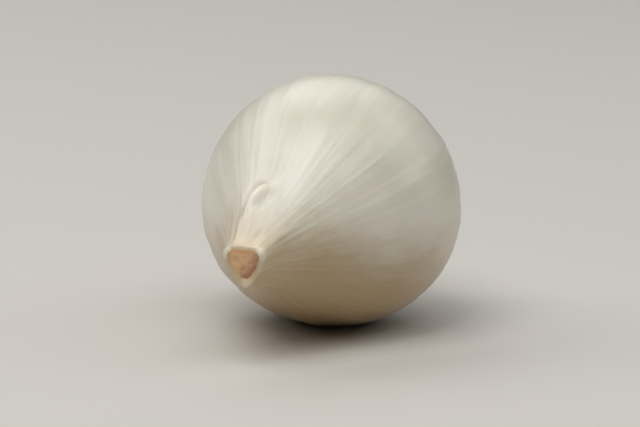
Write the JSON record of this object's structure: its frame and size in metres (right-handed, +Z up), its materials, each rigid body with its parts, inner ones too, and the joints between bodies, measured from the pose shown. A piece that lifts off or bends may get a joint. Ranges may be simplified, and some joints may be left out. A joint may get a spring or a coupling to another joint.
{
  "type": "onion set",
  "caption": "Small white onion bulb for planting, lying on its side: round papery body, cut dry neck, root plate with trimmed roots.",
  "frame": {"origin": "middle of the flat spot that the bulb lies on", "axes": "+Z up; the cut neck points to -X and the roots to +X, with the growth axis drooping 5 degrees at the neck"},
  "size_m": [0.0355, 0.0265, 0.0256],
  "materials": {
    "skin": "ivory papery onion skin, satin",
    "roots": "dry brown cork and root stubs, matte"
  },
  "bodies": {
    "root": {"bulb": "skin", "root_plate": "roots"}
  },
  "joints": []
}
